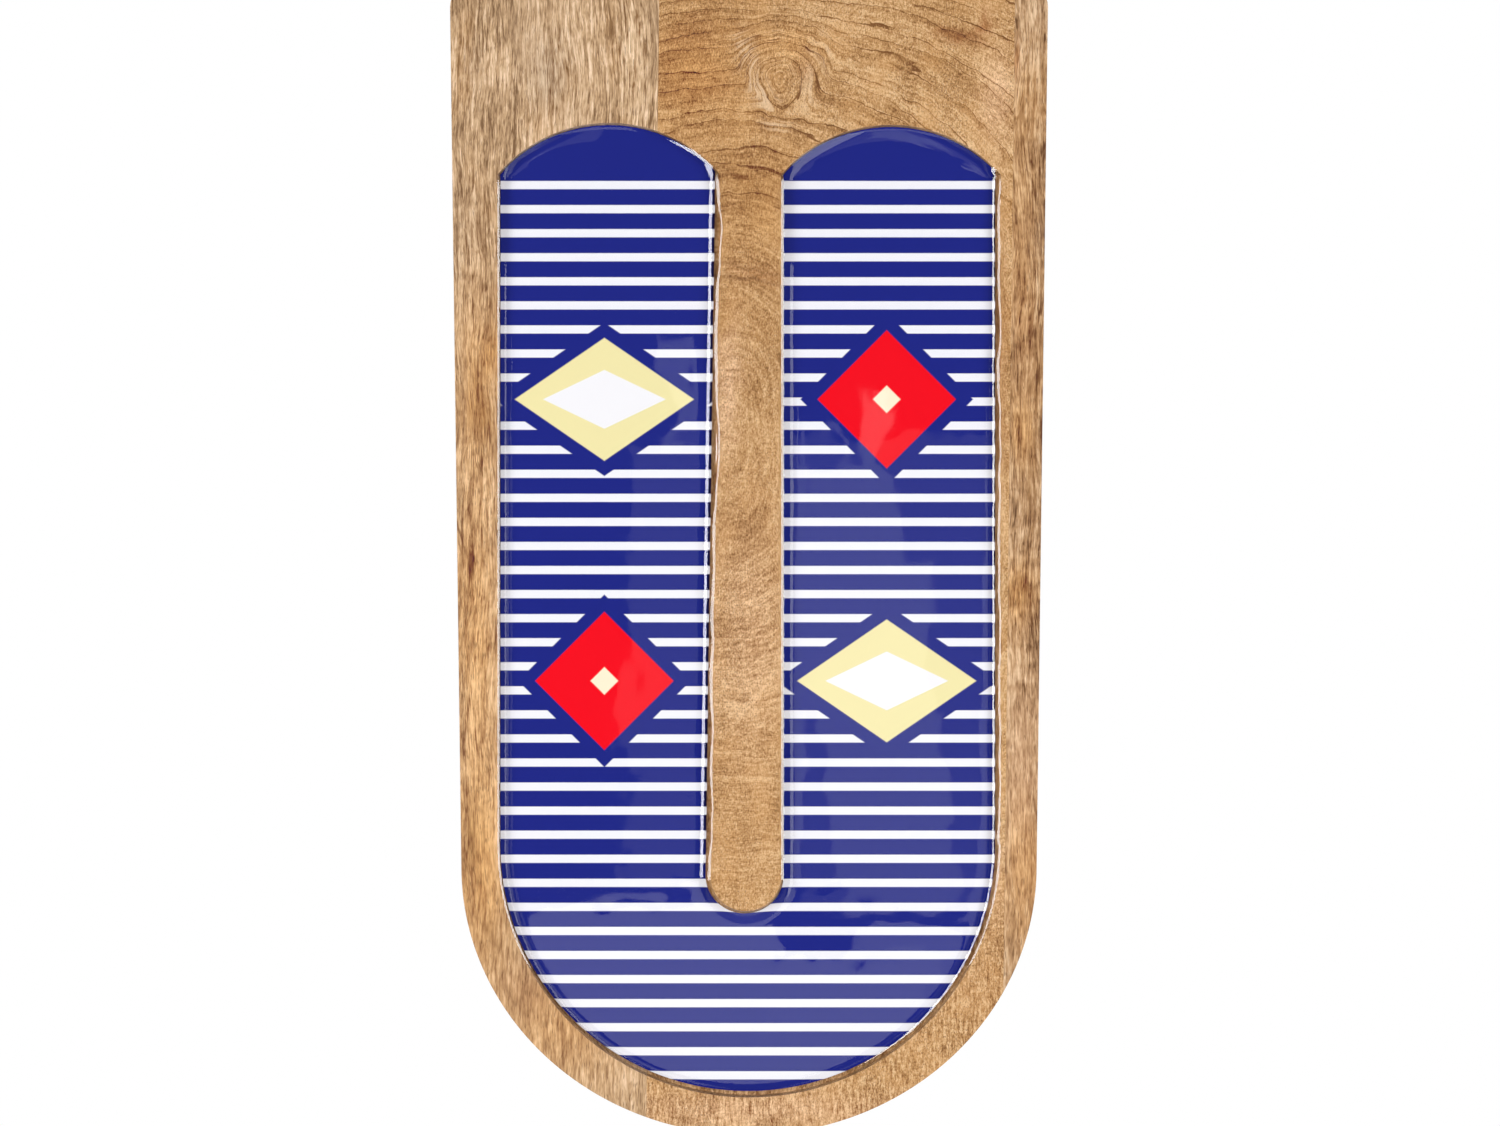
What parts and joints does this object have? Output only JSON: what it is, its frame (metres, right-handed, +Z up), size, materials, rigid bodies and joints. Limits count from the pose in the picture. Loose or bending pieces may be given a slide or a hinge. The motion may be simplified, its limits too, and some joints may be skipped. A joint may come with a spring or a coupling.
{
  "type": "wood wall plaque with resin inlay",
  "caption": "Long wooden wall plaque with a rounded foot and a U-shaped recess that holds a printed panel under clear resin.",
  "frame": {"origin": "centre of the flat back face at mid-height, on the mount wall_face", "axes": "+Z up along the plaque's length, -Y out of its face, +Y into the wall, +X to the viewer's right"},
  "size_m": [0.2332, 0.02, 0.45],
  "materials": {
    "wood_straight": "satin",
    "wood_flat_sawn": "satin",
    "wood_streaked": "satin",
    "print": "matte",
    "clear_resin": "gloss"
  },
  "bodies": {
    "root": {"left_stave": "wood_straight", "centre_stave": "wood_flat_sawn", "right_stave": "wood_streaked", "printed_panel": "print", "resin_coat": "clear_resin"}
  },
  "joints": []
}
